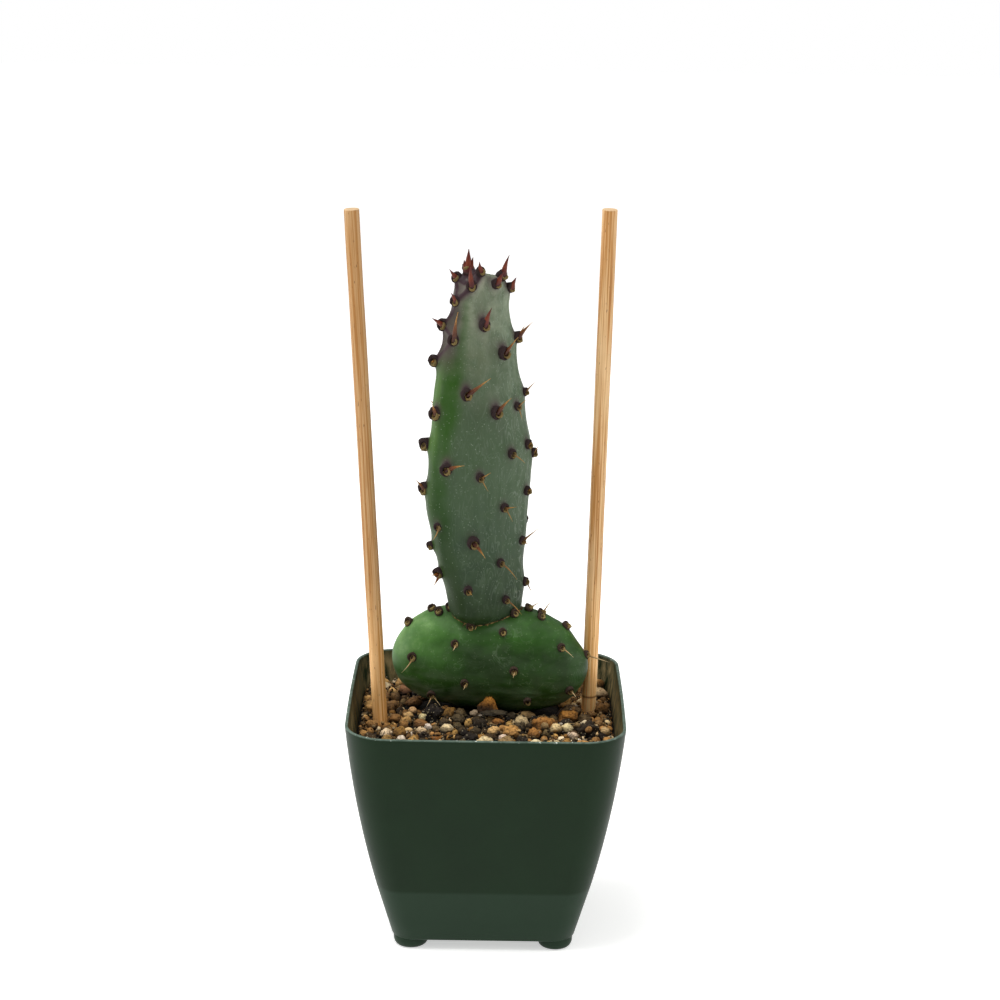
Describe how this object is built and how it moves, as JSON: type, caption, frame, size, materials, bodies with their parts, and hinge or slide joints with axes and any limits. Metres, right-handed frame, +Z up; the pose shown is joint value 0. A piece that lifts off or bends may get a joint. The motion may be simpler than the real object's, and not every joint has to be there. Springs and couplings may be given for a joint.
{
  "type": "potted cactus",
  "caption": "Prickly pear cutting in a square nursery pot: an upright spiny pad on a low oval pad, in gritty soil between bamboo stakes.",
  "frame": {"origin": "middle of the pot's footprint, level with the undersides of its feet", "axes": "+Z up, -Y towards the front of the pot and the broad face of the lower pad, +X to the right seen from the front"},
  "size_m": [0.0989, 0.0972, 0.2576],
  "materials": {
    "pot": "dark green moulded plastic, satin to glossy",
    "soil": "loose mixed grit of pumice, clay and bark",
    "lower_pad": "smooth green plant skin with felt areoles",
    "upper_pad": "grey-green plant skin under a waxy bloom",
    "stake": "plain dry bamboo"
  },
  "bodies": {
    "root": {"pot": "pot", "soil": "soil", "lower_pad": "lower_pad", "upper_pad": "upper_pad", "stake_left": "stake", "stake_right": "stake"}
  },
  "joints": []
}
